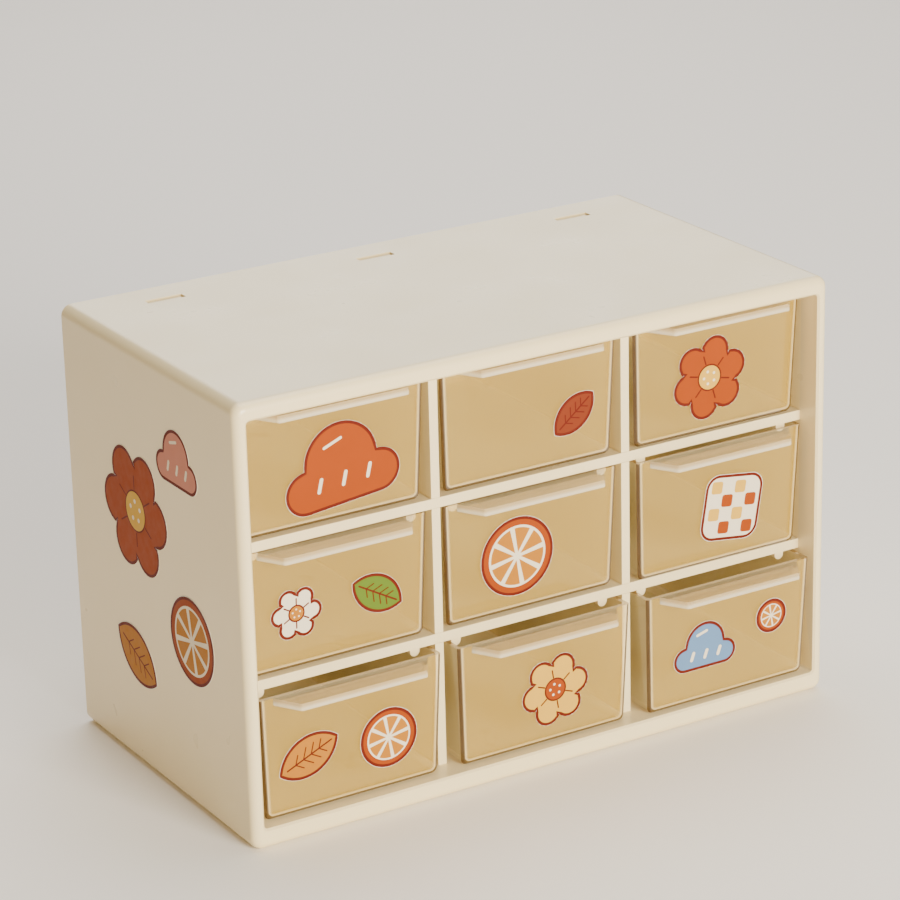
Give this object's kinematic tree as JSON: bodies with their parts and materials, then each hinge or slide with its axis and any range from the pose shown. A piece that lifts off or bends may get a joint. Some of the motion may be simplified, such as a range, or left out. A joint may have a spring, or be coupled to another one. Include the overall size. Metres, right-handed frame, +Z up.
{
  "type": "desktop drawer organizer",
  "caption": "Free-standing desktop organizer: a rounded moulded sleeve with a grid of clear sliding drawers, each with a pull lip, and stickers.",
  "frame": {"origin": "middle of the flat underside of the sleeve", "axes": "+Z up, drawers open towards -Y, +X to the right as seen from the front"},
  "size_m": [0.2652, 0.1511, 0.1775],
  "materials": {
    "cream_plastic": "satin",
    "clear_amber": "clear, glossy",
    "sticker_vinyl": "printed vinyl"
  },
  "bodies": {
    "cabinet": {"back_panel": "cream_plastic", "divider_left": "cream_plastic", "divider_right": "cream_plastic", "outer_shell": "cream_plastic", "shelf_lower": "cream_plastic", "shelf_upper": "cream_plastic", "sticker_side_1_daisy": "sticker_vinyl", "sticker_side_2_disc": "sticker_vinyl", "sticker_side_3_leaf": "sticker_vinyl", "sticker_side_4_cloud": "sticker_vinyl"},
    "drawer_top_left": {"drawer_top_left": "clear_amber", "sticker_top_left_1_cloud": "sticker_vinyl"},
    "drawer_top_middle": {"drawer_top_middle": "clear_amber", "sticker_top_middle_1_leaf": "sticker_vinyl"},
    "drawer_top_right": {"drawer_top_right": "clear_amber", "sticker_top_right_1_daisy": "sticker_vinyl"},
    "drawer_middle_left": {"drawer_middle_left": "clear_amber", "sticker_middle_left_1_daisy": "sticker_vinyl", "sticker_middle_left_2_leaf": "sticker_vinyl"},
    "drawer_middle_middle": {"drawer_middle_middle": "clear_amber", "sticker_middle_middle_1_disc": "sticker_vinyl"},
    "drawer_middle_right": {"drawer_middle_right": "clear_amber", "sticker_middle_right_1_tile": "sticker_vinyl"},
    "drawer_bottom_left": {"drawer_bottom_left": "clear_amber", "sticker_bottom_left_1_leaf": "sticker_vinyl", "sticker_bottom_left_2_disc": "sticker_vinyl"},
    "drawer_bottom_middle": {"drawer_bottom_middle": "clear_amber", "sticker_bottom_middle_1_daisy": "sticker_vinyl"},
    "drawer_bottom_right": {"drawer_bottom_right": "clear_amber", "sticker_bottom_right_1_cloud": "sticker_vinyl", "sticker_bottom_right_2_disc": "sticker_vinyl"}
  },
  "joints": [
    {"name": "slide_top_left", "type": "slide", "parent": "cabinet", "child": "drawer_top_left", "axis": [0, -1, 0], "range_m": [0, 0.1016]},
    {"name": "slide_top_middle", "type": "slide", "parent": "cabinet", "child": "drawer_top_middle", "axis": [0, -1, 0], "range_m": [-0.0002, 0.1014]},
    {"name": "slide_top_right", "type": "slide", "parent": "cabinet", "child": "drawer_top_right", "axis": [0, -1, 0], "range_m": [-0.0018, 0.0998]},
    {"name": "slide_middle_left", "type": "slide", "parent": "cabinet", "child": "drawer_middle_left", "axis": [0, -1, 0], "range_m": [0, 0.1016]},
    {"name": "slide_middle_middle", "type": "slide", "parent": "cabinet", "child": "drawer_middle_middle", "axis": [0, -1, 0], "range_m": [-0.0002, 0.1014]},
    {"name": "slide_middle_right", "type": "slide", "parent": "cabinet", "child": "drawer_middle_right", "axis": [0, -1, 0], "range_m": [-0.004, 0.0976]},
    {"name": "slide_bottom_left", "type": "slide", "parent": "cabinet", "child": "drawer_bottom_left", "axis": [0, -1, 0], "range_m": [-0.0081, 0.0935]},
    {"name": "slide_bottom_middle", "type": "slide", "parent": "cabinet", "child": "drawer_bottom_middle", "axis": [0, -1, 0], "range_m": [-0.0088, 0.0928]},
    {"name": "slide_bottom_right", "type": "slide", "parent": "cabinet", "child": "drawer_bottom_right", "axis": [0, -1, 0], "range_m": [-0.0104, 0.0912]}
  ]
}
